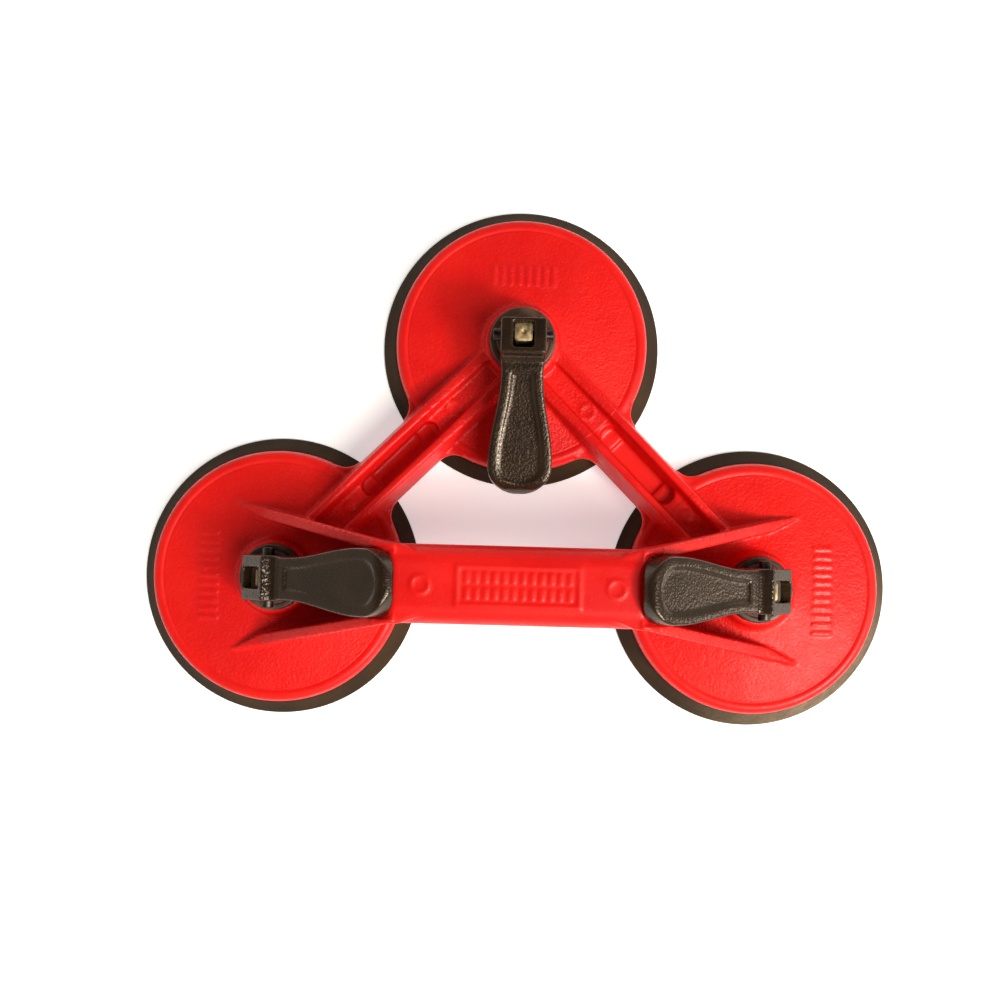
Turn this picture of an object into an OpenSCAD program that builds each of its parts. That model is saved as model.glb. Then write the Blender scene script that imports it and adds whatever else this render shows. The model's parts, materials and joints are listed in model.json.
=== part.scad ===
// Three-cup hand lifter: a die-cast frame with a raised handle carries three rubber
// vacuum pads, and a cam lever over each pad pulls the middle of the rubber upwards.
// Millimetres. The pad lips stand on z = 0, the handle runs along X and Z points up.

/* [Cups] */
// Radius of each rubber lip
lip_r = 60; // [58:0.5:62]
// Radius of each round casting plate
plate_r = 54; // [53:0.25:55]
// Half the distance between the two handle cups
cup_x = 101.5; // [100:0.5:104]
// How far the middle of a pad is lifted with its lever flat
full_lift = 4; // [3:0.25:4]

/* [Levers] */
// Angle at which the two handle levers are stored, from flat
side_angle = 44; // [43:0.5:47]
// Distance from the lever's pin to its tip
lever_len = 64.5; // [62:0.5:65]
// Width of the lever across its paddle
paddle_w = 26.5; // [24:0.5:27]
// Width of the lever's cam head
head_w = 18.5; // [17:0.5:19]
// Cam radius left under the pin when the lever stands upright
cam_open = 6; // [5.9:0.1:6.2]

/* [Handle] */
// Height of the handle's top over the pad lips
handle_top = 68; // [66:0.5:68.5]
// Width of the handle bar
handle_w = 31; // [28:0.5:32]
// Height of the clear space under the handle
finger_gap = 41; // [38:0.5:43]

/* [Arms] */
// Width of an arm at its base
arm_base_w = 23.4; // [21:0.2:24]
// Width of an arm over its two rails
arm_top_w = 16.8; // [15:0.2:18]
// Height of the rails over the pad lips
rail_z = 26; // [24:0.5:27]

/* [Hidden] */
$fn = 96;

// The arms run at 45 degrees, so a cup lies as far up as it lies aside, halved about X.
cup_y = cup_x / 2;
TOP = [0, cup_y, 0];
LEFT = [-cup_x, -cup_y, 0];
RIGHT = [cup_x, -cup_y, 0];
CENTRES = [TOP, LEFT, RIGHT];
arm_pitch = cup_x * sqrt(2);

// Cam: the distance from pin to collar falls evenly as the lever turns from flat to upright.
quarter_turn = PI / 2;
cam_slope = full_lift / quarter_turn;
cam_flat = cam_open + full_lift;
cam_gap = 0.2;
side_lift = full_lift - cam_slope * side_angle * PI / 180;

// Heights shared by the pieces at each cup
skirt_z = 8.5;
rim_z = 15.2;
boss_z = 23.5;
collar_z = 28.5;
disc_z = 4;
disc_t = 2.5;
disc_r = 22;
disc_fit = 0.05;
shank_r = 5;
bore_r = 5.06;
sleeve_r = 8;
sleeve_z = 12;
collar_r = 13.7;
pin_r = 2.5;
pin_len = 24.6;
pin_fit = 0.06;
square_w = 7.2;
square_corner_r = 4.6;
stud_over_pin = 7.2;
roof_z = 15.2;
spring_wire_r = 0.7;
spring_r = 14.5;
spring_turns = 2.25;
eps = 0.01;

function pin_z(lift) = collar_z + cam_open + lift;

// ---- cups -------------------------------------------------------------------------

// Rubber pad: a flat lip ring, a domed middle and a moulded pocket that grips the disc.
module pad(lift) {
    pocket_r = disc_r + disc_fit;
    floor_z = disc_z - disc_fit + lift;
    lip_under = disc_z + disc_t + disc_fit + lift;
    color([0.13, 0.12, 0.11])
    rotate_extrude()
        polygon([
            [0, 1.5 + lift], [disc_r, 1.2 + lift], [lip_r - 16, 0.4], [lip_r - 14, 0],
            [lip_r, 0], [lip_r, 1.4], [plate_r + 0.6, 7.7], [plate_r - 0.4, skirt_z],
            [plate_r - 6, skirt_z], [plate_r - 8, 4.2], [28, 3.8 + lift],
            [25.5, lip_under + 1.6], [19.6, lip_under + 1.6], [19.6, lip_under],
            [pocket_r, lip_under], [pocket_r, floor_z], [0, floor_z]
        ]);
}

// Steel disc moulded into the pad, with a hole for the stud's riveted end.
module pad_disc(lift) {
    color([0.62, 0.62, 0.60])
    translate([0, 0, disc_z + lift])
        difference() {
            cylinder(h = disc_t, r = disc_r);
            translate([0, 0, -1])
                cylinder(h = disc_t + 2, r = 4);
        }
}

// Stud: riveted into the disc, round through the collar, milled square through the lever.
module stud(lift) {
    foot_z = disc_z + lift;
    shank_z = foot_z + disc_t;
    square_z = collar_z - full_lift - 0.3 + lift;
    top_z = pin_z(lift) + stud_over_pin;
    color([0.78, 0.74, 0.64])
    difference() {
        union() {
            translate([0, 0, foot_z])
                cylinder(h = disc_t, r = 4);
            translate([0, 0, shank_z])
                cylinder(h = square_z - shank_z, r = shank_r);
            intersection() {
                translate([0, 0, square_z])
                    cylinder(h = top_z - square_z, r = square_corner_r);
                translate([-square_w / 2, -square_w / 2, square_z])
                    cube([square_w, square_w, top_z - square_z]);
            }
        }
        translate([0, 0, pin_z(lift)])
            rotate([90, 0, 0])
                cylinder(h = 2 * square_w, r = pin_r, center = true);
        translate([0, 0, top_z - 0.8])
            cylinder(h = 0.8 + eps, r1 = 0.1, r2 = 1.1);
    }
}

// Cross pin that joins stud and lever.
module pivot_pin(lift) {
    chamfer = 0.4;
    color([0.70, 0.70, 0.70])
    translate([0, 0, pin_z(lift)])
        rotate([90, 0, 0])
            union() {
                cylinder(h = pin_len - 2 * chamfer, r = pin_r, center = true);
                for (end = [0, 1])
                    mirror([0, 0, end])
                        translate([0, 0, pin_len / 2 - chamfer])
                            cylinder(h = chamfer, r1 = pin_r, r2 = pin_r - chamfer);
            }
}

// Black wear collar: a flange for the cam to slide on and a sleeve that guides the stud.
module collar() {
    color([0.10, 0.10, 0.10])
    rotate_extrude()
        polygon([
            [bore_r, sleeve_z], [sleeve_r, sleeve_z], [sleeve_r, boss_z], [collar_r, boss_z],
            [collar_r, collar_z - 0.6], [collar_r - 0.6, collar_z], [bore_r, collar_z]
        ]);
}

// Return spring: a short wire coil between the disc and the roof of the casting plate.
SPRING_SIDES = 8;
SPRING_STEPS = 22;
module return_spring(lift) {
    low = disc_z + disc_t + lift + spring_wire_r + eps;
    high = roof_z - 0.5 - spring_wire_r;
    rings = round(spring_turns * SPRING_STEPS);
    function ring_point(i, j) =
        let (turn = 360 * i / SPRING_STEPS, side = 360 * j / SPRING_SIDES)
        let (r = spring_r + spring_wire_r * cos(side))
        [r * cos(turn), r * sin(turn), low + (high - low) * i / rings + spring_wire_r * sin(side)];
    points = [for (i = [0:rings], j = [0:SPRING_SIDES - 1]) ring_point(i, j)];
    walls = [
        for (i = [0:rings - 1], j = [0:SPRING_SIDES - 1])
            let (a = i * SPRING_SIDES + j, b = i * SPRING_SIDES + (j + 1) % SPRING_SIDES)
            [a, a + SPRING_SIDES, b + SPRING_SIDES, b]
    ];
    first = [for (j = [0:SPRING_SIDES - 1]) j];
    last = [for (j = [SPRING_SIDES - 1:-1:0]) rings * SPRING_SIDES + j];
    color([0.60, 0.60, 0.62])
    polyhedron(points = points, faces = concat(walls, [first, last]), convexity = 6);
}

// ---- lever ------------------------------------------------------------------------
// Drawn flat with the pin at the origin along Y and the arm towards +X.

head_top = 9.4;
ridge_x = 8.8;
neck_x = 14;
neck_half = 8.6;
arm_half_t = 4.1;
arm_drop = 10.5;
tip_round_x = 11;
arm_slope = atan(arm_drop / (lever_len - neck_x));

function cam_point(turn) =
    let (reach = cam_flat - cam_gap - cam_slope * turn * PI / 180, side = -90 - turn)
    [reach * cos(side) - cam_slope * sin(side), reach * sin(side) + cam_slope * cos(side)];

// Half-width of the lever along its length, from the neck to where the tip rounds off.
function ease(t) = t * t * (3 - 2 * t);
function arm_half_w(x) =
    let (t = (x - neck_x - 3) / (lever_len - tip_round_x - neck_x - 5))
    neck_half + (paddle_w / 2 - neck_half) * ease(min(1, max(0, t)));

// Outline seen from above; inset draws the same outline that much smaller.
module lever_outline(from_x, inset) {
    end_x = lever_len - tip_round_x;
    steps = 14;
    side = concat(
        from_x < 0 ? [[from_x, head_w / 2], [ridge_x, head_w / 2]] : [],
        [for (i = [0:steps])
            let (x = max(from_x, neck_x) + (end_x - max(from_x, neck_x)) * i / steps)
            [x, arm_half_w(x) - inset]],
        [for (a = [80:-10:10])
            [end_x + (tip_round_x - inset) * cos(a), (paddle_w / 2 - inset) * sin(a)]]
    );
    far = [for (i = [len(side) - 1:-1:0]) [side[i][0], -side[i][1]]];
    polygon(concat(side, [[lever_len - inset, 0]], far));
}

// Outline seen from the side, with the cam under the pin and a scooped neck.
module lever_profile() {
    tip_z = -arm_drop;
    cam = [for (turn = [90:-7.5:0]) cam_point(turn)];
    scoop = [for (a = [180:15:240]) [ridge_x + 5.4 + 5.4 * cos(a), head_top + 5.4 * sin(a)]];
    polygon(concat(
        [[-cam_open + cam_gap, head_top - 0.5], [-cam_open + cam_gap + 0.5, head_top]],
        [[ridge_x - 0.4, head_top]],
        scoop,
        [[neck_x, arm_half_t + 0.3]],
        [[lever_len - 5, tip_z + arm_half_t + 0.8], [lever_len - 2.2, tip_z + arm_half_t - 0.6]],
        [[lever_len - 0.5, tip_z + 1.4], [lever_len, tip_z - 0.3], [lever_len - 1, tip_z - 1.9]],
        [[lever_len - 3.2, tip_z - 3.2], [lever_len - 6.5, tip_z - arm_half_t + 0.75]],
        [[neck_x + 2, -arm_half_t - 0.4]],
        [[ridge_x - 1, cam_gap - cam_flat]],
        [for (i = [len(cam) - 1:-1:0]) cam[i]]
    ));
}

// A thick slab whose lower face lies parallel to the arm's top face, depth below it.
module above_arm(depth) {
    translate([neck_x, 0, arm_half_t + 0.3 - depth])
        rotate([0, arm_slope, 0])
            translate([-20, -40, 0])
                cube([90, 80, 20]);
}

module lever_solid() {
    slot_w = 8.4;
    sweep_r = 8.35;
    web_under = 4.3;
    rim_w = 4.3;
    difference() {
        intersection() {
            rotate([90, 0, 0])
                linear_extrude(height = paddle_w + 2, center = true)
                    lever_profile();
            translate([0, 0, -40])
                linear_extrude(height = 60)
                    lever_outline(-cam_open, 0);
        }
        // window for the stud's square end, with a thin web left at the cam end
        translate([-4.2, -slot_w / 2, -20])
            cube([10.4, slot_w, 40]);
        translate([-20, -slot_w / 2, -20])
            cube([20, slot_w, 20 + web_under]);
        intersection() {
            rotate([90, 0, 0])
                cylinder(h = slot_w, r = sweep_r, center = true);
            translate([0, -10, -20])
                cube([20, 20, 40]);
        }
        // bore for the cross pin
        rotate([90, 0, 0])
            cylinder(h = head_w + 4, r = pin_r + pin_fit, center = true);
        // recessed panel on top and shallow hollow beneath
        intersection() {
            translate([0, 0, -40])
                linear_extrude(height = 60)
                    lever_outline(neck_x + 2, rim_w);
            above_arm(1.1);
        }
        intersection() {
            translate([0, 0, -40])
                linear_extrude(height = 60)
                    lever_outline(neck_x + 10, rim_w - 1);
            translate([0, 0, -2 * arm_half_t - 20])
                above_arm(-3);
        }
    }
}

module lever(lift, angle) {
    color([0.14, 0.13, 0.12])
    translate([0, 0, pin_z(lift)])
        rotate([0, -angle, 0])
            lever_solid();
}

// Room for a handle lever at rest: a slanted cut just under the arm, as wide as the paddle.
module lever_relief() {
    lever_gap = 0.45;
    under = -arm_half_t - 0.4 - lever_gap;
    tip_under = -arm_drop - arm_half_t - lever_gap;
    translate([0, 0, pin_z(side_lift)])
        rotate([0, -side_angle, 0])
            rotate([90, 0, 0])
                linear_extrude(height = paddle_w + 2 * lever_gap, center = true)
                    polygon([
                        [neck_x + 2, under], [lever_len - 3, tip_under],
                        [lever_len + lever_gap, tip_under + 1.8],
                        [lever_len + lever_gap, head_top], [neck_x + 2, head_top]
                    ]);
}

// ---- casting ----------------------------------------------------------------------

handle_y = -cup_y;
bay_x = cup_x - 51.7;
wall_t = 4.8;
bay_half = 12;
rib_end_x = cup_x + 19;
rib_end_y = 31.8;
rib_t = 4.4;
shoulder_r = 7.5;
arm_floor_z = 19;
mark_z = 0.5;
arm_under_z = 9;

// Outer body of one plate, filled; its hollow and bore are cut afterwards.
module plate_body() {
    rotate_extrude()
        polygon([
            [0, skirt_z], [plate_r, skirt_z], [plate_r - 0.3, rim_z - 3],
            [plate_r - 1.2, rim_z - 1.1], [plate_r - 2.7, rim_z - 0.2], [plate_r - 4.4, rim_z],
            [plate_r - 5, rim_z - 0.6], [18, 18.6], [16.4, 19.4], [15.6, boss_z - 1.4],
            [15, boss_z - 0.4], [14.3, boss_z], [0, boss_z]
        ]);
}

// Plain raised bars in a row on one plate, as a foundry marks a casting. The row crosses
// the line that runs outwards from the hub, and stands mark_z proud of the plate.
module plate_bars(count) {
    bar_w = 1.5;
    bar_len = 8;
    row_r = 29;
    pitch = 3.6;
    intersection() {
        linear_extrude(height = 40)
            for (i = [0:count - 1])
                translate([row_r, (i - (count - 1) / 2) * pitch])
                    square([bar_len, bar_w], center = true);
        translate([0, 0, mark_z])
            plate_body();
    }
}

// Space under one plate, round the hub sleeve, where the pad's middle rises.
module plate_hollow() {
    rotate_extrude()
        polygon([
            [0, 0], [0, sleeve_z], [11, sleeve_z], [12, roof_z], [plate_r - 6, 11.2],
            [plate_r - 5, skirt_z], [plate_r - 5, 0]
        ]);
}

// One channel arm along +X from the top hub: two rails, a shallow floor, one deep pocket.
module arm() {
    pocket_from = 50;
    pocket_to = 92;
    channel_top = 10.8;
    channel_floor = 8.6;
    difference() {
        intersection() {
            rotate([90, 0, 90])
                linear_extrude(height = arm_pitch)
                    polygon([
                        [-arm_base_w / 2, arm_under_z], [arm_base_w / 2, arm_under_z],
                        [arm_top_w / 2, rail_z], [-arm_top_w / 2, rail_z]
                    ]);
            rotate([90, 0, 0])
                linear_extrude(height = 60, center = true)
                    polygon([
                        [12, 0], [12, boss_z - 2.5], [plate_r, rail_z - 0.5],
                        [plate_r + 20, rail_z], [arm_pitch, rail_z], [arm_pitch, 0]
                    ]);
        }
        translate([-eps, 0, 0])
            rotate([90, 0, 90])
                linear_extrude(height = arm_pitch + 1)
                    polygon([
                        [-channel_floor / 2, arm_floor_z], [channel_floor / 2, arm_floor_z],
                        [channel_top / 2 + 0.2, rail_z + 1], [-channel_top / 2 - 0.2, rail_z + 1]
                    ]);
        translate([0, 0, arm_under_z + 3.5])
            linear_extrude(height = 20)
                union() {
                    translate([pocket_from + channel_floor / 2, -channel_floor / 2])
                        square([pocket_to - pocket_from - channel_floor, channel_floor]);
                    for (x = [pocket_from, pocket_to - channel_floor])
                        translate([x + channel_floor / 2, 0])
                            circle(d = channel_floor);
                }
    }
}

// Ring and round pad left by the ejectors on one arm's channel floor.
module arm_marks() {
    translate([40, 0, arm_floor_z - 1])
        difference() {
            cylinder(h = 1 + mark_z, r = 3.3);
            cylinder(h = 2 + mark_z, r = 2.6);
        }
    translate([arm_pitch - 43, 0, arm_floor_z - 1])
        cylinder(h = 1 + mark_z, r = 2.2);
}

// Flat web that rounds the corner between a plate and the arm's base along +X.
module corner_web() {
    round_r = 8;
    half = arm_base_w / 2;
    reach = plate_r + round_r;
    centre_x = sqrt(reach * reach - (half + round_r) * (half + round_r));
    for (side = [0, 1])
        mirror([0, side, 0])
            translate([0, 0, arm_under_z])
                linear_extrude(height = rim_z - 1 - arm_under_z)
                    difference() {
                        polygon([
                            [plate_r - 14, 0], [centre_x, 0], [centre_x, half + round_r],
                            [centre_x * plate_r / reach, (half + round_r) * plate_r / reach]
                        ]);
                        translate([centre_x, half + round_r])
                            circle(r = round_r);
                    }
}

// Space between the two ribs over one handle cup, seen from above; X is outwards.
module lever_bay() {
    translate([0, handle_y, 0])
        linear_extrude(height = 90)
            polygon([
                [bay_x, -bay_half], [rib_end_x + 10, -rib_end_y],
                [rib_end_x + 10, rib_end_y], [bay_x, bay_half]
            ]);
}

// Two tall ribs that spread from the handle's end over one cup and run out on the plate.
module ribs() {
    root = handle_w / 2;
    slope = (rib_end_y - root) / (rib_end_x - bay_x);
    sharp_x = rib_end_x - 14;
    sharp_y = root + slope * (sharp_x - bay_x);
    for (side = [0, 1])
        translate([0, handle_y, 0])
            mirror([0, side, 0])
                intersection() {
                    linear_extrude(height = handle_top)
                        polygon([
                            [bay_x - 2, root - rib_t + 0.8], [bay_x, root - rib_t + 0.8],
                            [bay_x + 6, root - rib_t + 6 * slope],
                            [sharp_x, sharp_y - rib_t], [rib_end_x - 5, rib_end_y - 3.2],
                            [rib_end_x, rib_end_y - 0.3], [rib_end_x, rib_end_y],
                            [sharp_x, sharp_y + 0.3], [bay_x, root], [bay_x - 2, root]
                        ]);
                    rotate([90, 0, 0])
                        linear_extrude(height = 120, center = true)
                            polygon([
                                [bay_x - 2, arm_under_z + 1], [rib_end_x, arm_under_z + 1],
                                [rib_end_x, 16.6], [rib_end_x - 14, 22.5], [bay_x + 30, 45.5],
                                [bay_x + 6, handle_top - 3.5], [bay_x + 1, handle_top - 0.6],
                                [bay_x - 2, handle_top]
                            ]);
                }
}

// Handle bar: an inverted U with rounded shoulders, carried by a wall at each end.
module handle() {
    half = handle_w / 2;
    flat_half = half - shoulder_r;
    foot_r = 12;
    wall_in = bay_x - wall_t;
    bar_z = arm_under_z + 1;
    web_t = 3;
    bay_w = (2 * wall_in - 2 * web_t) / 3;
    translate([0, handle_y, 0])
        difference() {
            union() {
                intersection() {
                    rotate([90, 0, 90])
                        linear_extrude(height = 2 * bay_x, center = true)
                            union() {
                                translate([-half, bar_z])
                                    square([handle_w, handle_top - shoulder_r - bar_z]);
                                translate([-flat_half, bar_z])
                                    square([2 * flat_half, handle_top - bar_z]);
                                for (side = [-1, 1])
                                    translate([side * flat_half, handle_top - shoulder_r])
                                        circle(r = shoulder_r);
                            }
                    // side view: the bar, two end walls and the rounded corners between them
                    rotate([90, 0, 0])
                        linear_extrude(height = 80, center = true)
                            difference() {
                                translate([-bay_x, 0])
                                    square([2 * bay_x, handle_top + 1]);
                                translate([-wall_in, 0])
                                    square([2 * wall_in, finger_gap - foot_r]);
                                translate([foot_r - wall_in, 0])
                                    square([2 * (wall_in - foot_r), finger_gap]);
                                for (side = [-1, 1])
                                    translate([side * (wall_in - foot_r), finger_gap - foot_r])
                                        circle(r = foot_r);
                            }
                }
                // flats that carry the ribs' top faces on over the shoulders
                for (end = [0, 1], side = [0, 1])
                    mirror([end, 0, 0])
                        mirror([0, side, 0])
                            translate([0, 0, handle_top - shoulder_r - 1])
                                linear_extrude(height = shoulder_r + 0.4)
                                    polygon([
                                        [bay_x - 22, flat_half], [bay_x, flat_half],
                                        [bay_x, half], [bay_x - 4, half]
                                    ]);
            }
            // hollow underside in three bays
            for (bay = [-1:1])
                translate([bay * (bay_w + web_t) - bay_w / 2, -half + 5, finger_gap - 1])
                    cube([bay_w, handle_w - 10, handle_top - 6 - finger_gap + 1]);
        }
}

// Raised marks on the handle's top: a framed panel of plain bars and a ring at each end.
module handle_marks() {
    panel_x = 24;
    panel_y = 8;
    line = 1.1;
    ring_x = 37.7;
    ring_r = 3.7;
    bars = 12;
    translate([0, handle_y, handle_top - 1])
        linear_extrude(height = 1 + mark_z)
            union() {
                difference() {
                    square([2 * panel_x, 2 * panel_y], center = true);
                    square([2 * (panel_x - line), 2 * (panel_y - line)], center = true);
                }
                for (row = [-1, 1], i = [0:bars - 1])
                    translate([(i - (bars - 1) / 2) * 3.6, row * 3.1])
                        square([1.4, 4], center = true);
                for (side = [-1, 1])
                    translate([side * ring_x, 0])
                        difference() {
                            circle(r = ring_r);
                            circle(r = ring_r - 0.7);
                        }
            }
}

module cast_frame() {
    color([0.80, 0.06, 0.04])
    difference() {
        union() {
            for (centre = CENTRES)
                translate(centre)
                    plate_body();
            translate(TOP)
                rotate([0, 0, 90])
                    plate_bars(8);
            for (side = [0, 1])
                mirror([side, 0, 0]) {
                    translate(RIGHT)
                        plate_bars(11);
                    translate(TOP)
                        rotate([0, 0, -45])
                            arm_marks();
                    difference() {
                        translate(TOP)
                            rotate([0, 0, -45])
                                arm();
                        lever_bay();
                    }
                    translate(TOP)
                        rotate([0, 0, -45])
                            corner_web();
                    translate(RIGHT)
                        rotate([0, 0, 135])
                            corner_web();
                    ribs();
                }
            handle();
            handle_marks();
        }
        for (centre = CENTRES)
            translate(centre) {
                plate_hollow();
                cylinder(h = 90, r = sleeve_r);
            }
        for (side = [0, 1])
            mirror([side, 0, 0])
                translate(LEFT)
                    lever_relief();
    }
}

// ---- nodes ------------------------------------------------------------------------
// Each lever points at the handle: down the page from the top cup, inwards at the sides.

module at_top() { translate(TOP) rotate([0, 0, -90]) children(); }
module at_left() { translate(LEFT) children(); }
module at_right() { translate(RIGHT) rotate([0, 0, 180]) children(); }

cast_frame();
at_top() pad(full_lift);  // top_pad
at_left() pad(side_lift);  // left_pad
at_right() pad(side_lift);  // right_pad
at_top() pad_disc(full_lift);  // top_pad_disc
at_left() pad_disc(side_lift);  // left_pad_disc
at_right() pad_disc(side_lift);  // right_pad_disc
at_top() stud(full_lift);  // top_stud
at_left() stud(side_lift);  // left_stud
at_right() stud(side_lift);  // right_stud
at_top() return_spring(full_lift);  // top_return_spring
at_left() return_spring(side_lift);  // left_return_spring
at_right() return_spring(side_lift);  // right_return_spring
at_top() collar();  // top_collar
at_left() collar();  // left_collar
at_right() collar();  // right_collar
at_top() pivot_pin(full_lift);  // top_pivot_pin
at_left() pivot_pin(side_lift);  // left_pivot_pin
at_right() pivot_pin(side_lift);  // right_pivot_pin
at_top() lever(full_lift, 0);  // top_lever
at_left() lever(side_lift, side_angle);  // left_lever
at_right() lever(side_lift, side_angle);  // right_lever
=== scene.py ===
"""Three-cup vacuum lifter: the looks around its CAD frame.

Everything is in metres, in the frame of the CAD model: X runs along the handle, Y points
from the handle to the single cup, and the pad lips stand on Z = 0.
"""

import json
import math

import bmesh
import bpy
from bpy.props import FloatProperty, FloatVectorProperty, IntProperty, PointerProperty
from bpy.types import Operator, Panel, PropertyGroup
from mathutils import Matrix, Vector, noise


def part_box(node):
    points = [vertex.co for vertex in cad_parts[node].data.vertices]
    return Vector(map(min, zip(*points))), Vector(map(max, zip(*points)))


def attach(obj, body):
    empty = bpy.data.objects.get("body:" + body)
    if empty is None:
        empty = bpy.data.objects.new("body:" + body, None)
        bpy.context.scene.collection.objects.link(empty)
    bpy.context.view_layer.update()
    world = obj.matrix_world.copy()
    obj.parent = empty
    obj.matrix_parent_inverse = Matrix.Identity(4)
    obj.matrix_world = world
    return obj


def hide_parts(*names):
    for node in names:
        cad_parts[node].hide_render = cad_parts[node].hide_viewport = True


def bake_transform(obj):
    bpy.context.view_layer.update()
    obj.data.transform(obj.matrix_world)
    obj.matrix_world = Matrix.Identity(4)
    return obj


bl_info = {
    "name": "Three-cup vacuum lifter",
    "version": (1, 0, 0),
    "blender": (4, 5, 0),
    "location": "View3D > Sidebar > Lifter",
    "description": "Builds the casting, pads, levers and metal parts of a vacuum lifter",
    "category": "Add Mesh",
}

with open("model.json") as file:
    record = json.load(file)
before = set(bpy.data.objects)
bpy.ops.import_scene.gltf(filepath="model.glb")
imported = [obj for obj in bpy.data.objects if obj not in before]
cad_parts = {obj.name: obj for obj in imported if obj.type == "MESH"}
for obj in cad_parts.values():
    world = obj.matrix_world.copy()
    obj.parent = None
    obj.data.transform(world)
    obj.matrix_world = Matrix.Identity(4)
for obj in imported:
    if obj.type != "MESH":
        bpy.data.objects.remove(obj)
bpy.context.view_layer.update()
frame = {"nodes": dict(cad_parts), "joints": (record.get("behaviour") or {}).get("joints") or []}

MM = 0.001
CUPS = ("top", "left", "right")
JOINTS = {joint["name"]: joint for joint in frame["joints"]}


# ---- places taken from the frame --------------------------------------------------------


def pin_place(cup):
    """The point on one cup's axis at the height of its lever pin."""
    return Vector(JOINTS[f"{cup}_lever_turn"]["pos_m"])


def cup_place(cup):
    """The point under one cup's hub at the height of the pad lips."""
    pin = pin_place(cup)
    return Vector((pin.x, pin.y, 0.0))


def arm_way(cup):
    """The level direction in which one cup's lever points from its pin."""
    pin_axis = Vector(JOINTS[f"{cup}_lever_turn"]["axis"])
    return Vector((0, 0, 1)).cross(-pin_axis)


def at_cup(cup):
    """Places a piece drawn round the origin, with its front towards +X, at one cup."""
    way = arm_way(cup)
    turn = Matrix.Rotation(math.atan2(way.y, way.x), 4, "Z")
    return Matrix.Translation(cup_place(cup)) @ turn


def at_pin(cup, raised):
    """Places a piece drawn round the pin, arm towards +X, at one cup's raised lever."""
    lift = Matrix.Translation((0, 0, pin_place(cup).z))
    return at_cup(cup) @ lift @ Matrix.Rotation(-raised, 4, "Y")


# ---- mesh helpers -------------------------------------------------------------------------


def clamped(value):
    return min(1.0, max(0.0, value))


def eased(t):
    """A share from 0 to 1 with soft ends."""
    return t * t * (3 - 2 * t)


def hump(value, middle, width):
    """A smooth hump that is 1 at the middle and fades over the width."""
    return math.exp(-((value - middle) / width) ** 2)


def new_piece(name, bm, body, slot, material, *nodes):
    """Turns a bmesh in its final place into a piece that rides on a body."""
    mesh = bpy.data.meshes.new(name)
    bm.to_mesh(mesh)
    bm.free()
    return finish_piece(name, mesh, body, slot, material, *nodes)


def finish_piece(name, mesh, body, slot, material, *nodes):
    """Links a mesh as a smooth-shaded piece with its material, body and replaced nodes."""
    piece = bpy.data.objects.new(name, mesh)
    bpy.context.scene.collection.objects.link(piece)
    mesh.materials.clear()
    mesh.materials.append(material)
    for face in mesh.polygons:
        face.use_smooth = True
    if body:
        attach(piece, body)
    if nodes:
        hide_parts(*nodes)
    return piece


def merged_copy(node):
    """A bmesh of one CAD node with its loose triangles merged."""
    bm = bmesh.new()
    bm.from_mesh(frame["nodes"][node].data)
    bmesh.ops.remove_doubles(bm, verts=bm.verts, dist=1e-6)
    return bm


def spun(profile, steps):
    """A closed ring or disc from a closed profile of (radius, height) pairs in millimetres."""
    bm = bmesh.new()
    verts = [bm.verts.new((r * MM, 0, z * MM)) for r, z in profile]
    edges = [bm.edges.new((verts[i - 1], verts[i])) for i in range(len(verts))]
    bmesh.ops.spin(
        bm, geom=verts + edges, cent=(0, 0, 0), axis=(0, 0, 1),
        angle=2 * math.pi, steps=steps, use_merge=True,
    )
    bmesh.ops.remove_doubles(bm, verts=bm.verts, dist=1e-7)
    bmesh.ops.dissolve_degenerate(bm, edges=bm.edges, dist=1e-8)
    bmesh.ops.recalc_face_normals(bm, faces=bm.faces)
    return bm


def rounded(corners, segments=4):
    """Rounds the corners of a closed profile. Each corner is (radius, height, round-off)."""
    points = []
    count = len(corners)
    for i, (r, z, cut) in enumerate(corners):
        here = Vector((r, z))
        if cut <= 0:
            points.append(tuple(here))
            continue
        before = Vector(corners[i - 1][:2]) - here
        after = Vector(corners[(i + 1) % count][:2]) - here
        reach = min(cut, before.length * 0.49, after.length * 0.49)
        start = here + before.normalized() * reach
        end = here + after.normalized() * reach
        for step in range(segments + 1):
            t = step / segments
            points.append(tuple((1 - t) ** 2 * start + 2 * t * (1 - t) * here + t * t * end))
    return points


def through_modifiers(name, mesh, *steps, shares=None):
    """Runs a mesh through modifiers, each given as (type, settings), and returns the result.

    Shares, if given, are one weight for each vertex in a vertex group named "share".
    """
    scratch = bpy.data.objects.new(name, mesh)
    if shares is not None:
        group = scratch.vertex_groups.new(name="share")
        for index, share in enumerate(shares):
            if share:
                group.add([index], share, "REPLACE")
    bpy.context.scene.collection.objects.link(scratch)
    for kind, settings in steps:
        modifier = scratch.modifiers.new(kind.lower(), kind)
        for key, value in settings.items():
            setattr(modifier, key, value)
    graph = bpy.context.evaluated_depsgraph_get()
    result = bpy.data.meshes.new_from_object(scratch.evaluated_get(graph))
    result.name = name
    bpy.data.objects.remove(scratch)
    return result


def softened_copy(node, spacing, passes, most_triangles):
    """A CAD node's mesh, remeshed evenly and relaxed so that its edges and roots are round.

    Returns the mesh and the share of its triangles that it may keep.
    """
    mesh = bpy.data.meshes.new(node + "_soft")
    bm = merged_copy(node)
    bm.to_mesh(mesh)
    bm.free()
    even = through_modifiers(
        node + "_even", mesh,
        ("REMESH", {"mode": "VOXEL", "voxel_size": spacing}),
        ("SMOOTH", {"factor": 0.5, "iterations": passes}),
    )
    triangles = sum(len(face.vertices) - 2 for face in even.polygons)
    return even, min(1.0, most_triangles / triangles)


def thinned(name, mesh, share):
    """Thins a mesh to a share of its triangles."""
    if share >= 1.0:
        return mesh
    return through_modifiers(name, mesh, ("DECIMATE", {"ratio": share}))


# ---- material helpers -------------------------------------------------------------------


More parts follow.
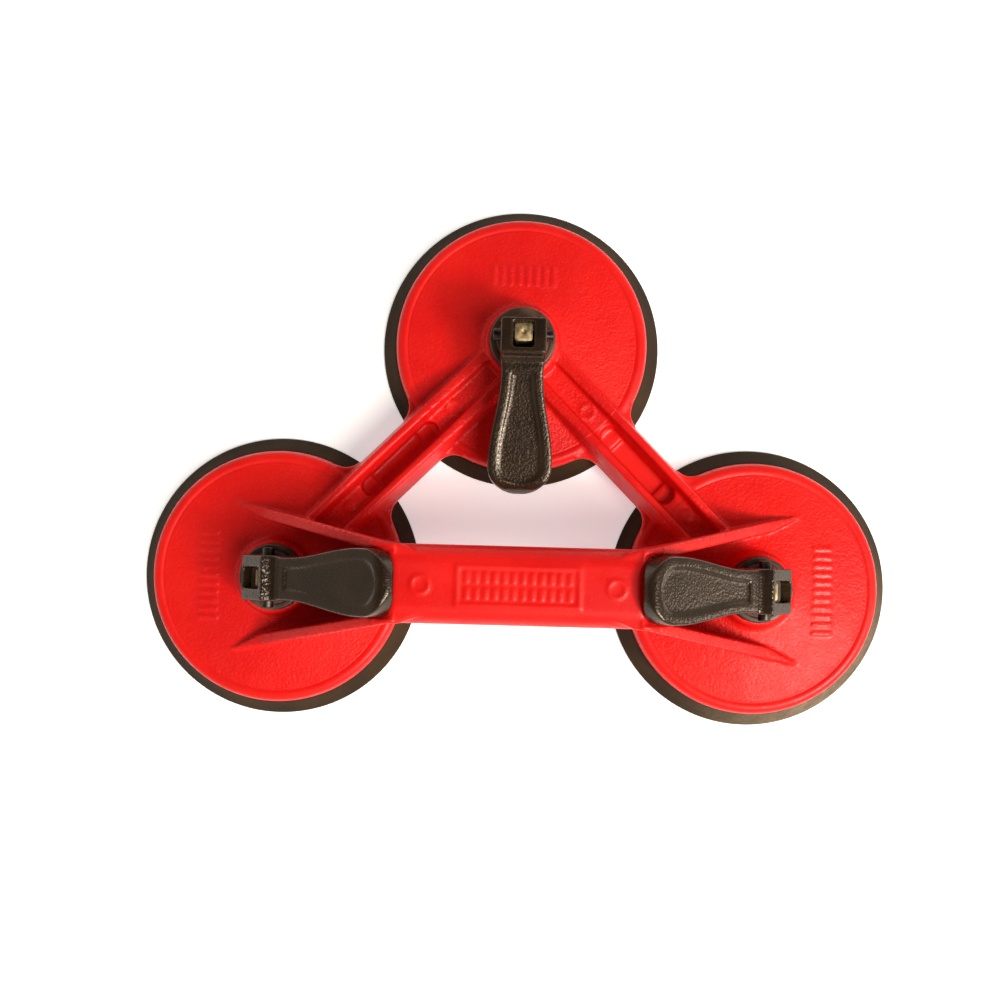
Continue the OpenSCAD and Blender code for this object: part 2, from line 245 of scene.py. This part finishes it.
def linear(hex_colour):
    """An sRGB hex colour as the linear RGBA that shaders take."""
    parts = [int(hex_colour[i:i + 2], 16) / 255 for i in (1, 3, 5)]
    return [c / 12.92 if c <= 0.04045 else ((c + 0.055) / 1.055) ** 2.4 for c in parts] + [1.0]


def add_node(tree, kind, inputs=None, **settings):
    """Adds a node, sets its properties, and sets or links its inputs by name or number."""
    node = tree.nodes.new(kind)
    for key, value in settings.items():
        setattr(node, key, value)
    for key, value in (inputs or {}).items():
        if isinstance(value, bpy.types.NodeSocket):
            tree.links.new(value, node.inputs[key])
        else:
            node.inputs[key].default_value = value
    return node


def new_material(name, **shader_values):
    """A material with one Principled shader; returns it, its tree, shader and coordinates."""
    material = bpy.data.materials.new(name)
    material.use_nodes = True
    tree = material.node_tree
    tree.nodes.clear()
    shader = add_node(tree, "ShaderNodeBsdfPrincipled")
    for key, value in shader_values.items():
        shader.inputs[key.replace("_", " ")].default_value = value
    add_node(tree, "ShaderNodeOutputMaterial", {"Surface": shader.outputs[0]})
    place = add_node(tree, "ShaderNodeTexCoord").outputs["Object"]
    return material, tree, shader, place


def per_metre(size_mm):
    """The texture scale at which one cell of a pattern is that many millimetres across."""
    return 1000.0 / size_mm


def grain(tree, place, size_mm, detail=2.0, roughness=0.5):
    return add_node(
        tree, "ShaderNodeTexNoise",
        {"Vector": place, "Scale": per_metre(size_mm), "Detail": detail, "Roughness": roughness},
    ).outputs["Fac"]


def spread(tree, value, low, high, to_low=0.0, to_high=1.0):
    """Maps a value from one range to another, smoothly and clamped."""
    return add_node(
        tree, "ShaderNodeMapRange",
        {"Value": value, "From Min": low, "From Max": high, "To Min": to_low, "To Max": to_high},
        interpolation_type="SMOOTHSTEP",
    ).outputs[0]


def mixed(tree, share, first, second):
    """Mixes two colours; each is a linear colour or a socket."""
    return add_node(
        tree, "ShaderNodeMix", {0: share, 6: first, 7: second}, data_type="RGBA"
    ).outputs[2]


def relief(tree, height, depth_mm, strength=1.0, under=None):
    """A bump of that real depth, laid over another one if given."""
    inputs = {"Height": height, "Distance": depth_mm * MM, "Strength": strength}
    if under is not None:
        inputs["Normal"] = under
    return add_node(tree, "ShaderNodeBump", inputs).outputs[0]


def maths(tree, operation, a, b=0.0):
    return add_node(tree, "ShaderNodeMath", {0: a, 1: b}, operation=operation).outputs[0]


def from_cups(tree, place):
    """Distance in metres from the nearest cup's axis."""
    flat = add_node(
        tree, "ShaderNodeVectorMath", {0: place, 1: (1.0, 1.0, 0.0)}, operation="MULTIPLY"
    ).outputs[0]
    gaps = [
        add_node(
            tree, "ShaderNodeVectorMath", {0: flat, 1: tuple(cup_place(cup))},
            operation="DISTANCE",
        ).outputs["Value"]
        for cup in CUPS
    ]
    return maths(tree, "MINIMUM", maths(tree, "MINIMUM", gaps[0], gaps[1]), gaps[2])


# ---- materials ----------------------------------------------------------------------------

# the brownish cast of light that glances off carbon-black rubber and nylon
WARM_SHEEN = (1.0, 0.86, 0.72, 1.0)

# the step in metres between two tool rings turned in a collar
TOOL_STEP = 0.0007

# the enamel's coarse skin ends here, between a plate's flat and its rim, in metres
FLAT_END = (0.0480, 0.0488)


def red_enamel(looks):
    """Enamel sprayed on a die casting: a saturated red with a restrained satin shine, and an
    orange-peel skin that is coarse on the plates and faint on rims, arms and handle."""
    material, tree, shader, place = new_material(
        "red_enamel_on_aluminium_casting", Roughness=0.40, Coat_Weight=0.08,
        Coat_Roughness=0.12, Specular_IOR_Level=0.2,
    )
    cloud = grain(tree, place, 38, detail=3)
    speck = grain(tree, place, 1.1, detail=2)
    base = mixed(tree, spread(tree, cloud, 0.35, 0.65), looks.enamel_deep, looks.enamel)
    base = mixed(tree, spread(tree, speck, 0.60, 0.80, 0.0, 0.40), base, looks.enamel_light)
    tree.links.new(base, shader.inputs["Base Color"])
    on_plate = spread(tree, from_cups(tree, place), *FLAT_END, 1.0, 0.22)
    peel = grain(tree, place, looks.peel_mm, detail=2.5, roughness=0.55)
    lumps = grain(tree, place, looks.peel_mm * 3.2, detail=1)
    waves = maths(tree, "ADD", peel, maths(tree, "MULTIPLY", lumps, 0.5))
    skin = maths(tree, "MULTIPLY", waves, on_plate)
    tree.links.new(relief(tree, skin, 0.42, 0.80), shader.inputs["Normal"])
    rough = spread(tree, grain(tree, place, 9, detail=3), 0.3, 0.7, 0.37, 0.50)
    tree.links.new(rough, shader.inputs["Roughness"])
    return material


def pad_rubber(looks):
    """Moulded black rubber: a warm, matt near-black with a brownish bloom, and a pale patch on the
    lamp side of the right pad's lip that is partly a dusting rubbed in where it has been dragged,
    partly a painted sheen of the lamps."""
    material, tree, shader, place = new_material(
        "moulded_black_rubber", Roughness=0.72, Specular_IOR_Level=0.18,
        Specular_Tint=WARM_SHEEN,
    )
    bloom = grain(tree, place, 22, detail=4)
    base = mixed(tree, spread(tree, bloom, 0.3, 0.7), looks.rubber, looks.rubber_bloom)
    fine = grain(tree, place, 0.5, detail=2)
    base = mixed(tree, spread(tree, fine, 0.55, 0.75, 0.0, 0.3), base, looks.rubber_bloom)
    # painted sheen mixed with a real dusting: a pale patch on the right pad's lip, on the side the
    # lamps come from; film and rub only break it up
    dust_and_sheen_place = cup_place("right") + Vector((0.036, -0.046, 0.003))
    gap = add_node(
        tree, "ShaderNodeVectorMath", {0: place, 1: tuple(dust_and_sheen_place)}, operation="DISTANCE"
    ).outputs["Value"]
    near = spread(tree, gap, 0.008, 0.075, 0.55, 0.0)
    film = spread(tree, grain(tree, place, 9, detail=4, roughness=0.5), 0.30, 0.65, 0.65, 1.0)
    rub = spread(tree, grain(tree, place, 1.6, detail=4, roughness=0.6), 0.40, 0.66, 0.75, 1.0)
    dust_and_sheen_share = maths(tree, "MULTIPLY", near, maths(tree, "MULTIPLY", film, rub))
    # paints the pale patch, partly a dusting and partly a painted sheen of the lamps
    base = mixed(tree, dust_and_sheen_share, base, looks.dust_and_sheen)
    tree.links.new(base, shader.inputs["Base Color"])
    tree.links.new(relief(tree, fine, 0.05, 0.5), shader.inputs["Normal"])
    return material


def lever_nylon(looks):
    """Black glass-filled nylon, moulded with a leather grain: brown-black with small bright
    glints on the grain's tops and slightly paler patches where hands rub it."""
    material, tree, shader, place = new_material(
        "moulded_black_nylon_leather_grain", Roughness=0.20, Specular_IOR_Level=0.45,
        Specular_Tint=WARM_SHEEN,
    )
    cloud = grain(tree, place, 14, detail=3)
    base = mixed(tree, spread(tree, cloud, 0.3, 0.7), looks.nylon, looks.nylon_worn)
    tree.links.new(base, shader.inputs["Base Color"])
    cells = add_node(
        tree, "ShaderNodeTexVoronoi",
        {"Vector": place, "Scale": per_metre(1.0), "Smoothness": 0.45},
        feature="SMOOTH_F1",
    ).outputs["Distance"]
    fine = grain(tree, place, 0.4, detail=3, roughness=0.6)
    leather = maths(tree, "ADD", cells, maths(tree, "MULTIPLY", fine, 0.5))
    tree.links.new(relief(tree, leather, 0.12, 0.6), shader.inputs["Normal"])
    rough = spread(tree, fine, 0.35, 0.7, 0.14, 0.30)
    tree.links.new(rough, shader.inputs["Roughness"])
    return material


def collar_acetal(looks):
    """Black acetal, turned and slid on by the cam: a plain dark satin with faint rub rings."""
    material, tree, shader, place = new_material(
        "turned_black_acetal", Roughness=0.42, Specular_IOR_Level=0.5
    )
    cloud = grain(tree, place, 8, detail=3)
    base = mixed(tree, spread(tree, cloud, 0.3, 0.7), looks.acetal, looks.nylon_worn)
    tree.links.new(base, shader.inputs["Base Color"])
    turning = maths(tree, "MULTIPLY", from_cups(tree, place), 2 * math.pi / TOOL_STEP)
    rings = maths(tree, "SINE", turning)
    tree.links.new(relief(tree, rings, 0.01, 0.5), shader.inputs["Normal"])
    rough = spread(tree, grain(tree, place, 3, detail=3), 0.3, 0.7, 0.34, 0.52)
    tree.links.new(rough, shader.inputs["Roughness"])
    return material


def plated_steel(name, bright, dull, roughness, line_mm):
    """Steel with a thin plating, machined before it: a soft metallic shine broken by fine
    tool lines and slightly duller patches."""
    material, tree, shader, place = new_material(name, Metallic=0.9, Roughness=roughness)
    cloud = grain(tree, place, 2.4, detail=4)
    base = mixed(tree, spread(tree, cloud, 0.35, 0.65), linear(dull), linear(bright))
    tree.links.new(base, shader.inputs["Base Color"])
    lines = add_node(
        tree, "ShaderNodeTexWave",
        {"Vector": place, "Scale": per_metre(line_mm), "Distortion": 1.5, "Detail": 2.0},
        bands_direction="Z",
    ).outputs["Fac"]
    tree.links.new(relief(tree, lines, 0.01, 0.4), shader.inputs["Normal"])
    rough = spread(tree, cloud, 0.3, 0.7, roughness - 0.06, roughness + 0.12)
    tree.links.new(rough, shader.inputs["Roughness"])
    return material


def stage_paint(looks):
    """Matt white board with a slight glow of its own: even, without a sheen, and pale
    where the lifter shades it."""
    material, tree, shader, place = new_material(
        "matt_white_light_board", Roughness=0.9, Specular_IOR_Level=0.2,
        Emission_Color=(0.92, 0.97, 1.0, 1.0), Emission_Strength=0.45,
    )
    cloud = grain(tree, place, 400, detail=2)
    tree.links.new(mixed(tree, cloud, looks.floor, linear("#FFFFFF")), shader.inputs["Base Color"])
    return material


# ---- sizes and colours ----------------------------------------------------------------------


def colour(label, note, default):
    """A colour property whose default is given as an sRGB hex colour."""
    return FloatVectorProperty(
        name=label, description=note, default=linear(default), subtype="COLOR", size=4,
        min=0.0, max=1.0,
    )


class LifterShape(PropertyGroup):
    casting_grain: FloatProperty(
        name="Casting grain", description="Spacing of the casting's even mesh",
        default=0.00062, min=0.0005, max=0.002, precision=5, unit="LENGTH",
    )
    casting_passes: IntProperty(
        name="Casting softness", description="Times the casting's edges are relaxed",
        default=6, min=1, max=30,
    )
    casting_triangles: IntProperty(
        name="Casting triangles", description="Most triangles that the casting keeps",
        default=192000, min=20000, max=198000,
    )
    lever_grain: FloatProperty(
        name="Lever grain", description="Spacing of a lever's even mesh",
        default=0.00032, min=0.0002, max=0.001, precision=5, unit="LENGTH",
    )
    lever_passes: IntProperty(
        name="Lever softness", description="Times a lever's edges are relaxed",
        default=5, min=1, max=30,
    )
    arm_passes: IntProperty(
        name="Arm softness", description="Times a lever arm's edges are relaxed further",
        default=45, min=1, max=120,
    )
    side_raise: FloatProperty(
        name="Side lever angle", description="Angle at which the two handle levers rest",
        default=math.radians(44), min=0.0, max=math.radians(90), subtype="ANGLE",
    )
    wire_radius: FloatProperty(
        name="Spring wire radius", description="Half the thickness of the spring wire",
        default=0.0007, min=0.0004, max=0.001, precision=5, unit="LENGTH",
    )


class LifterLooks(PropertyGroup):
    enamel: colour("Enamel", "Red enamel where it lies thick", "#DE1712")
    enamel_deep: colour("Enamel, deep", "Red enamel where it lies thin", "#D21111")
    enamel_light: colour("Enamel, light", "Paler tops of the enamel's grain", "#EE3422")
    rubber: colour("Rubber", "Clean rubber", "#291D11")
    rubber_bloom: colour("Rubber bloom", "Rubber with a greyish bloom", "#372817")
    # partly a pale dusting rubbed into a lip, partly a painted sheen of the lamps on that lip's
    # lit side
    dust_and_sheen: colour("Dust", "Pale dust rubbed into a lip", "#9C8B75")
    nylon: colour("Nylon", "Lever moulding", "#1E150E")
    nylon_worn: colour("Nylon, worn", "Lever moulding where hands rub it", "#2A1E14")
    acetal: colour("Acetal", "Wear collars", "#5A4231")
    floor: colour("Floor", "Backdrop board", "#FAFAF9")
    peel_mm: FloatProperty(
        name="Orange peel", description="Width of a bump of the enamel's skin, in mm",
        default=1.05, min=0.3, max=4.0,
    )


# ---- operators -------------------------------------------------------------------------------


class LIFTER_OT_casting(Operator):
    """Cast frame with relaxed edges and roots, as it leaves the die and the spray booth"""

    bl_idname = "lifter.casting"
    bl_label = "Cast frame"

    def execute(self, context):
        shape, looks = context.scene.lifter_shape, context.scene.lifter_looks
        mesh, share = softened_copy(
            "cast_frame", shape.casting_grain, shape.casting_passes, shape.casting_triangles
        )
        mesh = thinned("casting", mesh, share)
        finish_piece("casting", mesh, "frame", "red_enamel", red_enamel(looks), "cast_frame")
        return {"FINISHED"}


def pad_profile(disc_r, disc_z):
    """Closed profile of a pad: a lip with two sealing grooves, a bending skin, a disc pocket."""
    play, under_disc = 0.05, 2.8
    floor = disc_z[0] - play
    cover = disc_z[1] + play
    low = disc_z[0] - under_disc
    pocket = disc_r + play
    return rounded([
        (0.0, low + 0.3, 0), (disc_r, low, 4), (36.0, low * 0.45 + 0.2, 5), (44.0, 0.5, 2),
        (46.5, 0.0, 0.6), (48.6, 0.0, 0.3), (49.0, 0.45, 0.2), (50.4, 0.45, 0.2), (50.8, 0.0, 0.3),
        (53.2, 0.0, 0.3), (53.6, 0.4, 0.2), (54.8, 0.4, 0.2), (55.2, 0.0, 0.3), (59.9, 0.0, 0.5),
        (60.0, 1.3, 0.8), (57.4, 4.1, 1.2), (54.8, 7.3, 1.0), (53.6, 8.45, 0.8),
        (48.2, 8.45, 0.8), (46.0, 4.3, 2.0), (36.0, (low + 2.6) * 0.5 + 2.0, 5),
        (28.0, low + 3.0, 2.0), (25.6, cover + 1.6, 1.0), (19.6, cover + 1.6, 0.5),
        (19.6, cover, 0.1), (pocket, cover, 0.1), (pocket, floor, 0.1),
        (0.0, floor, 0),
    ])


class LIFTER_OT_pads(Operator):
    """Rubber pads, each spun from one profile round its cup's pad disc and left as one still
    piece; on the real lifter the lip stays on the sheet while the middle follows the stud
    """

    bl_idname = "lifter.pads"
    bl_label = "Rubber pads"

    steps = 192
    still_r = 0.045
    moving_r = 0.027

    def execute(self, context):
        rubber = pad_rubber(context.scene.lifter_looks)
        for cup in CUPS:
            low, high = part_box(f"{cup}_pad_disc")
            disc_r = (high.x - low.x) / 2 / MM
            bm = spun(pad_profile(disc_r, (low.z / MM, high.z / MM)), self.steps)
            bm.transform(at_cup(cup))
            pad = new_piece(f"{cup}_rubber_pad", bm, None, "black_rubber", rubber, f"{cup}_pad")
            place = cup_place(cup)
            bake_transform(pad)
            self.weigh_by_radius(pad, place)
        return {"FINISHED"}

    def weigh_by_radius(self, pad, place):
        """On the real pad the skin between lip and disc bends evenly all round; this method gives
        it no share and changes nothing.
        """


class LIFTER_OT_levers(Operator):
    """Cam levers: moulded, with a raised rim, a grained grip panel and a rough ridge"""

    bl_idname = "lifter.levers"
    bl_label = "Cam levers"

    def execute(self, context):
        shape = context.scene.lifter_shape
        nylon = lever_nylon(context.scene.lifter_looks)
        for cup in CUPS:
            raised = 0.0 if cup == "top" else shape.side_raise
            place = at_pin(cup, raised)
            mesh, share = softened_copy(
                f"{cup}_lever", shape.lever_grain, shape.lever_passes, self.most_triangles
            )
            mesh = self.rounded_arm(f"{cup}_rounded", mesh, place, shape.arm_passes)
            self.add_pebbles(mesh, place)
            mesh = thinned(f"{cup}_cam_lever", mesh, share)
            finish_piece(
                f"{cup}_cam_lever", mesh, f"{cup}_lever_body", "black_nylon", nylon,
                f"{cup}_lever",
            )
        return {"FINISHED"}

    most_triangles = 118000

    # plan of the arm in millimetres from the pin, as the CAD lever has it
    neck_half, paddle_half = 8.6, 13.25
    swell_from, swell_over = 17.0, 34.5
    nose_x, nose_len = 53.5, 11.0

    # where the arm's extra roundness starts and how soon it is full
    round_from, round_over = 11.5, 5.0
    # the two raised lines: distance in from the edge, half width, share of the height
    lines = ((5.6, 0.65, 1.0), (1.9, 0.8, 0.7))
    line_height, line_from, line_over = 0.60, 16.5, 3.0
    # the pebbled panel: height, distance in from the edge, and where it starts
    pebble_height, panel_gap, panel_from, panel_over = 1.7, 6.6, 27.0, 4.0
    # the rough ridge across the head: its place, half width and height
    ridge_x, ridge_half, ridge_height = 9.3, 2.2, 0.30

    def edge_gap(self, x, y):
        """Distance in from the arm's outline, in millimetres."""
        if x > self.nose_x:
            way = math.hypot((x - self.nose_x) / self.nose_len, y / self.paddle_half)
            return (1 - way) * 12.0
        swell = eased(clamped((x - self.swell_from) / self.swell_over))
        return self.neck_half + (self.paddle_half - self.neck_half) * swell - abs(y)

    def rounded_arm(self, name, mesh, place, passes):
        """Relaxes the arm's edges far more than the head's, which has to keep its cam."""
        to_lever = place.inverted()
        along = [(to_lever @ vert.co).x / MM for vert in mesh.vertices]
        return through_modifiers(
            name, mesh,
            ("SMOOTH", {"factor": 0.5, "iterations": passes, "vertex_group": "share"}),
            shares=[clamped((x - self.round_from) / self.round_over) for x in along],
        )

    def add_pebbles(self, mesh, place):
        """Raises two lines along the arm's edge and pebbles inside, and roughens the ridge."""
        to_lever = place.inverted()
        turn = to_lever.to_3x3()
        lifts = []
        for vert in mesh.vertices:
            here = to_lever @ vert.co / MM
            faces_up = (turn @ vert.normal).z
            lift = 0.0
            if faces_up > 0.6 and here.x > 15:
                lift = self.arm_relief(here)
            elif 5.0 < here.x < 13.5 and here.z > 4 and faces_up > 0.1:
                rough = noise.noise(here * 0.9) + noise.noise(here * 2.3)
                lift = self.ridge_height * hump(here.x, self.ridge_x, self.ridge_half) * rough
            lifts.append(lift)
        for vert, lift in zip(mesh.vertices, lifts):
            if lift:
                vert.co += vert.normal * lift * MM

    def arm_relief(self, here):
        """How far the arm's upper side stands out at a point, in millimetres."""
        gap = self.edge_gap(here.x, here.y)
        start = clamped((here.x - self.line_from) / self.line_over)
        line = sum(share * hump(gap, middle, half) for middle, half, share in self.lines)
        inside = clamped(gap - self.panel_gap)
        inside *= clamped((here.x - self.panel_from) / self.panel_over)
        pebble = noise.noise(here * 0.70) + 0.40 * noise.noise(here * 1.5)
        return (
            self.line_height * start * line
            + self.pebble_height * inside * max(0.0, pebble - 0.04)
        )


class LIFTER_OT_collars(Operator):
    """Wear collars: a flange for the cam and a sleeve that guides the stud"""

    bl_idname = "lifter.collars"
    bl_label = "Wear collars"

    # millimetres
    bore_r, sleeve_r, flange = 5.06, 8.0, 5.0

    def execute(self, context):
        acetal = collar_acetal(context.scene.lifter_looks)
        for cup in CUPS:
            low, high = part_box(f"{cup}_collar")
            outer = (high.x - low.x) / 2 / MM
            top, foot = high.z / MM, low.z / MM
            profile = rounded([
                (self.bore_r, foot, 0.3), (self.sleeve_r, foot, 0.4),
                (self.sleeve_r, top - self.flange, 0.2), (outer, top - self.flange, 0.3),
                (outer, top - 0.1, 0.9), (outer - 2.0, top, 0.6), (outer - 2.3, top - 0.25, 0.2),
                (outer - 3.0, top - 0.25, 0.2), (outer - 3.3, top, 0.2), (self.bore_r, top, 0.4),
            ])
            bm = spun(profile, 128)
            bm.transform(at_cup(cup))
            new_piece(f"{cup}_wear_collar", bm, "frame", "black_acetal", acetal, f"{cup}_collar")
        return {"FINISHED"}


def bevelled_copy(node, width_mm):
    """A merged copy of a CAD node with every edge that turns more than 25 degrees broken."""
    bm = merged_copy(node)
    bmesh.ops.dissolve_limit(
        bm, angle_limit=math.radians(1), verts=bm.verts, edges=bm.edges,
    )
    sharp = [
        edge for edge in bm.edges
        if len(edge.link_faces) == 2 and edge.calc_face_angle() > math.radians(25)
    ]
    bmesh.ops.bevel(
        bm, geom=sharp, offset=width_mm * MM, affect="EDGES", segments=2, profile=0.5,
        material=-1, clamp_overlap=True,
    )
    return bm


class LIFTER_OT_steel(Operator):
    """Studs, cross pins and pad discs: plated steel with broken edges"""

    bl_idname = "lifter.steel"
    bl_label = "Studs, pins and discs"

    def execute(self, context):
        stud = plated_steel("yellow_passivated_steel_stud", "#BBA67E", "#8E7D5C", 0.50, 0.9)
        pin = plated_steel("blackened_ground_steel_pin", "#4A4540", "#2A2622", 0.34, 0.6)
        disc = plated_steel("zinc_plated_pressed_steel", "#A9AAA8", "#85868A", 0.38, 1.1)
        kinds = (
            ("stud", "stud_steel", stud, 0.25),
            ("pivot_pin", "pin_steel", pin, 0.12),
            ("pad_disc", "zinc_plate", disc, 0.25),
        )
        for cup in CUPS:
            for kind, slot, material, width in kinds:
                node = f"{cup}_{kind}"
                bm = bevelled_copy(node, width)
                new_piece(f"{node}_steel", bm, f"{cup}_stud_body", slot, material, node)
        return {"FINISHED"}


class LIFTER_OT_springs(Operator):
    """Return springs, wound as a helix, squeezed between disc and plate"""

    bl_idname = "lifter.springs"
    bl_label = "Return springs"

    turns = 2.25
    steps_per_turn = 32
    wire_sides = 12

    def execute(self, context):
        wire = plated_steel("drawn_spring_steel", "#8D8E90", "#6C6D70", 0.30, 0.5)
        radius = context.scene.lifter_shape.wire_radius
        for cup in CUPS:
            low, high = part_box(f"{cup}_return_spring")
            mean_r = (high.x - low.x) / 2 - radius
            rise = high.z - low.z - 2 * radius
            steps = int(self.turns * self.steps_per_turn)
            bm = bmesh.new()
            ring = bmesh.ops.create_circle(
                bm, cap_ends=True, radius=radius, segments=self.wire_sides
            )["verts"]
            stand = Matrix.Translation((0, mean_r, low.z + radius))
            stand @= Matrix.Rotation(math.pi / 2, 4, "Y")
            bmesh.ops.transform(bm, matrix=stand, verts=ring)
            bmesh.ops.spin(
                bm, geom=bm.faces[:], cent=(0, 0, 0), axis=(0, 0, 1), steps=steps,
                angle=2 * math.pi * self.turns, dvec=(0, 0, rise / steps),
            )
            bmesh.ops.remove_doubles(bm, verts=bm.verts, dist=1e-6)
            bmesh.ops.recalc_face_normals(bm, faces=bm.faces)
            bm.transform(at_cup(cup))
            coil = new_piece(
                f"{cup}_wire_spring", bm, None, "spring_steel", wire, f"{cup}_return_spring"
            )
            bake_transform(coil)
        return {"FINISHED"}


class LIFTER_OT_stage(Operator):
    """Pale floor, soft studio light and the camera above the lifter"""

    bl_idname = "lifter.stage"
    bl_label = "Stage"

    # strength of the room's light at the horizon, below and above
    horizon, room_low, room_high = 1.0, 0.60, 0.05
    warm = (1.0, 0.92, 0.82)
    floor_half = 30.0
    # name, place, target, size and power: one lamp from above, one that skims the levers
    lamps = (
        ("key_lamp", (0.56, -0.38, 0.66), (0.05, 0.0, 0.02), 0.16, 4.6),
        ("low_side_lamp", (0.72, -0.16, 0.18), (0.10, -0.05, 0.03), 0.12, 0.45),
    )
    # the camera looks straight down, turned a little
    camera_place = (-0.0107, -0.0361, 0.520)
    camera_turn_deg = 1.565
    focal_length, sensor_width = 42.61, 36.0
    shift = (0.0088, 0.0477)

    def execute(self, context):
        scene = context.scene
        self.floor(scene.lifter_looks)
        self.lights(scene)
        self.camera(scene)
        return {"FINISHED"}

    def floor(self, looks):
        bm = bmesh.new()
        bmesh.ops.create_grid(bm, x_segments=8, y_segments=8, size=self.floor_half)
        mesh = bpy.data.meshes.new("floor")
        bm.to_mesh(mesh)
        bm.free()
        mesh.materials.append(stage_paint(looks))
        board = bpy.data.objects.new("floor", mesh)
        bpy.context.scene.collection.objects.link(board)

    def lamp(self, name, place, target, size, power):
        light = bpy.data.lights.new(name, "AREA")
        light.shape = "DISK"
        light.size = size
        light.energy = power
        light.color = self.warm
        lamp = bpy.data.objects.new(name, light)
        lamp.location = place
        lamp.rotation_euler = (Vector(target) - Vector(place)).to_track_quat("-Z", "Y").to_euler()
        bpy.context.scene.collection.objects.link(lamp)

    def sun(self, name, azimuth, height, power, spread_deg):
        light = bpy.data.lights.new(name, "SUN")
        light.energy = power
        light.color = self.warm
        light.angle = math.radians(spread_deg)
        a, h = math.radians(azimuth), math.radians(height)
        toward = Vector((math.cos(a) * math.cos(h), math.sin(a) * math.cos(h), math.sin(h)))
        sun = bpy.data.objects.new(name, light)
        sun.rotation_euler = toward.to_track_quat("Z", "Y").to_euler()
        bpy.context.scene.collection.objects.link(sun)

    def lights(self, scene):
        world = bpy.data.worlds.new("soft_white_room")
        world.use_nodes = True
        tree = world.node_tree
        way = add_node(tree, "ShaderNodeTexCoord").outputs["Generated"]
        up = add_node(tree, "ShaderNodeSeparateXYZ", {0: way}).outputs["Z"]
        walls = spread(tree, up, 0.02, 0.20, self.horizon, 0.0)
        room = spread(tree, up, 0.50, 0.92, self.room_low, self.room_high)
        glow = maths(tree, "MAXIMUM", walls, room)
        background = tree.nodes["Background"]
        background.inputs["Color"].default_value = (*self.warm, 1.0)
        tree.links.new(glow, background.inputs["Strength"])
        scene.world = world
        self.sun("studio_sun", azimuth=-42, height=54, power=2.60, spread_deg=31)
        for lamp in self.lamps:
            self.lamp(*lamp)
        scene.view_settings.view_transform = "Standard"

    def camera(self, scene):
        lens = bpy.data.cameras.new("camera")
        lens.sensor_width = self.sensor_width
        lens.lens = self.focal_length
        lens.shift_x, lens.shift_y = self.shift
        lens.clip_start = 0.01
        camera = bpy.data.objects.new("camera", lens)
        camera.location = self.camera_place
        camera.rotation_euler = (0, 0, math.radians(self.camera_turn_deg))
        scene.collection.objects.link(camera)
        scene.camera = camera


class LIFTER_PT_panel(Panel):
    """Lists the lifter's sizes, colours and pieces"""

    bl_idname = "LIFTER_PT_panel"
    bl_label = "Vacuum lifter"
    bl_space_type = "VIEW_3D"
    bl_region_type = "UI"
    bl_category = "Lifter"

    def draw(self, context):
        for group in (context.scene.lifter_shape, context.scene.lifter_looks):
            box = self.layout.box()
            for name in group.__annotations__:
                box.prop(group, name)
        for operator in OPERATORS:
            self.layout.operator(operator.bl_idname)


OPERATORS = (
    LIFTER_OT_stage,
    LIFTER_OT_casting,
    LIFTER_OT_pads,
    LIFTER_OT_levers,
    LIFTER_OT_collars,
    LIFTER_OT_steel,
    LIFTER_OT_springs,
)
CLASSES = (LifterShape, LifterLooks) + OPERATORS + (LIFTER_PT_panel,)


def register():
    for item in CLASSES:
        bpy.utils.register_class(item)
    bpy.types.Scene.lifter_shape = PointerProperty(type=LifterShape)
    bpy.types.Scene.lifter_looks = PointerProperty(type=LifterLooks)


def unregister():
    del bpy.types.Scene.lifter_looks
    del bpy.types.Scene.lifter_shape
    for item in reversed(CLASSES):
        bpy.utils.unregister_class(item)


def main():
    register()
    for operator in OPERATORS:
        group, name = operator.bl_idname.split(".")
        getattr(getattr(bpy.ops, group), name)()


if __name__ == "__main__":
    main()
